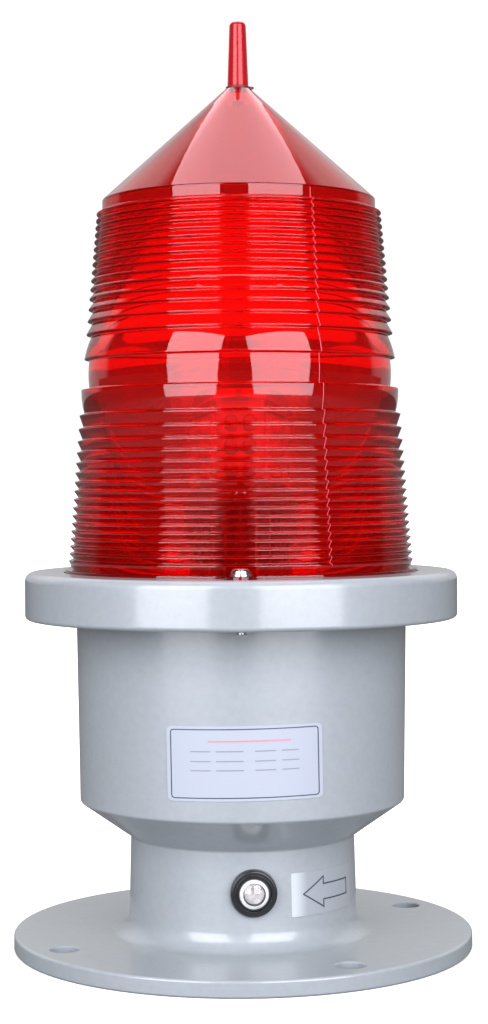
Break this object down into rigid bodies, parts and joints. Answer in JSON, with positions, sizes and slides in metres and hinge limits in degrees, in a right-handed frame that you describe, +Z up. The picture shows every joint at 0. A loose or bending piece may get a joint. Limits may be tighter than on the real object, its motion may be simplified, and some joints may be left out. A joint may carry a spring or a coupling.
{
  "type": "aviation obstruction beacon",
  "caption": "Red ribbed aviation obstruction beacon: a conical-topped lens with a spike on a grey cast housing with a flanged foot, a daylight sensor and an LED lamp head inside.",
  "frame": {"origin": "centre of the foot flange's underside, on the lamp's axis", "axes": "+Z up along the lamp's axis; the daylight sensor and the rating plate face -Y"},
  "size_m": [0.22, 0.22, 0.4448],
  "materials": {
    "grey_enamel": "die-cast aluminium under glossy light grey enamel with a fine orange peel",
    "red_lens": "transparent red moulded lens, polished",
    "black_rubber": "black rubber, satin",
    "bright_screw": "bright plated steel",
    "zinc_steel": "zinc-plated sheet steel",
    "bare_aluminium": "machined aluminium, satin",
    "led_board_white": "white solder mask",
    "clear_dome": "clear moulded domes",
    "clear_glass": "clear glass",
    "circuit_board": "green circuit board",
    "winding": "varnished copper winding and laminated core",
    "capacitor_sleeve": "dark shrink sleeve",
    "black_plastic": "black moulded plastic",
    "red_lead": "insulated stranded leads",
    "bright_ring": "turned bright ring",
    "sensor_face": "pale ceramic sensor face",
    "silver_label": null
  },
  "bodies": {
    "housing": {"arrow_label": "silver_label", "cap_screw": "bright_screw", "chassis_plate": "zinc_steel", "chassis_screws": "bright_screw", "driver_board": "circuit_board", "driver_capacitors": "capacitor_sleeve", "driver_case": "zinc_steel", "driver_lid": "zinc_steel", "driver_screws": "bright_screw", "driver_transformer": "winding", "earth_screw": "bright_screw", "earth_washer": "bright_screw", "gland_body": "black_plastic", "gland_cap": "black_plastic", "gland_locknut": "black_plastic", "gland_seal": "black_rubber", "heat_sink": "bare_aluminium", "housing_casting": "grey_enamel", "lead_grommet": "black_rubber", "led_board_1": "led_board_white", "led_board_2": "led_board_white", "led_board_3": "led_board_white", "led_board_4": "led_board_white", "led_board_5": "led_board_white", "led_board_6": "led_board_white", "led_cap": "bare_aluminium", "led_core": "bare_aluminium", "led_disc": "bare_aluminium", "led_leads": "red_lead", "led_lenses_1": "clear_dome", "led_lenses_2": "clear_dome", "led_lenses_3": "clear_dome", "led_lenses_4": "clear_dome", "led_lenses_5": "clear_dome", "led_lenses_6": "clear_dome", "led_post": "bare_aluminium", "lens_gasket": "black_rubber", "photocell_body": "capacitor_sleeve", "photocell_bush": "black_plastic", "photocell_cell": "sensor_face", "photocell_dome": "clear_glass", "photocell_leads": "red_lead", "photocell_nut": "black_plastic", "photocell_rim": "bright_ring", "post_screws": "bright_screw", "rating_plate": "silver_label", "supply_leads": "red_lead", "terminal_block": "black_plastic", "terminal_screws": "bright_screw"},
    "lens": {"lens_dome": "red_lens", "spike": "red_lens", "spike_seal": "black_rubber", "spike_nut": "bright_screw"},
    "washer_1": {"flat_washer_1": "bright_screw"},
    "screw_1": {"lens_screw_1": "bright_screw"},
    "washer_2": {"flat_washer_2": "bright_screw"},
    "screw_2": {"lens_screw_2": "bright_screw"},
    "washer_3": {"flat_washer_3": "bright_screw"},
    "screw_3": {"lens_screw_3": "bright_screw"}
  },
  "joints": [
    {"name": "lens_lift", "type": "slide", "parent": "housing", "child": "lens", "axis": [0, 0, 1], "range_m": [0, 0.12]},
    {"name": "screw_1_rise", "type": "slide", "parent": "lens", "child": "washer_1", "axis": [0, 0, 1], "range_m": [0, 0.0224]},
    {"name": "screw_1_turn", "type": "hinge", "parent": "washer_1", "child": "screw_1", "pos_m": [0, -0.091, 0.18], "axis": [0, 0, 1], "range_deg": [0, 10081]},
    {"name": "screw_2_rise", "type": "slide", "parent": "lens", "child": "washer_2", "axis": [0, 0, 1], "range_m": [0, 0.0224]},
    {"name": "screw_2_turn", "type": "hinge", "parent": "washer_2", "child": "screw_2", "pos_m": [0.07881, 0.0455, 0.18], "axis": [0, 0, 1], "range_deg": [0, 10081]},
    {"name": "screw_3_rise", "type": "slide", "parent": "lens", "child": "washer_3", "axis": [0, 0, 1], "range_m": [0, 0.0224]},
    {"name": "screw_3_turn", "type": "hinge", "parent": "washer_3", "child": "screw_3", "pos_m": [-0.07881, 0.0455, 0.18], "axis": [0, 0, 1], "range_deg": [0, 10081]}
  ],
  "couplings": [
    {"joint": "screw_1_turn", "follows": "screw_1_rise", "rad_per_m": 7854},
    {"joint": "screw_2_turn", "follows": "screw_2_rise", "rad_per_m": 7854},
    {"joint": "screw_3_turn", "follows": "screw_3_rise", "rad_per_m": 7854}
  ]
}
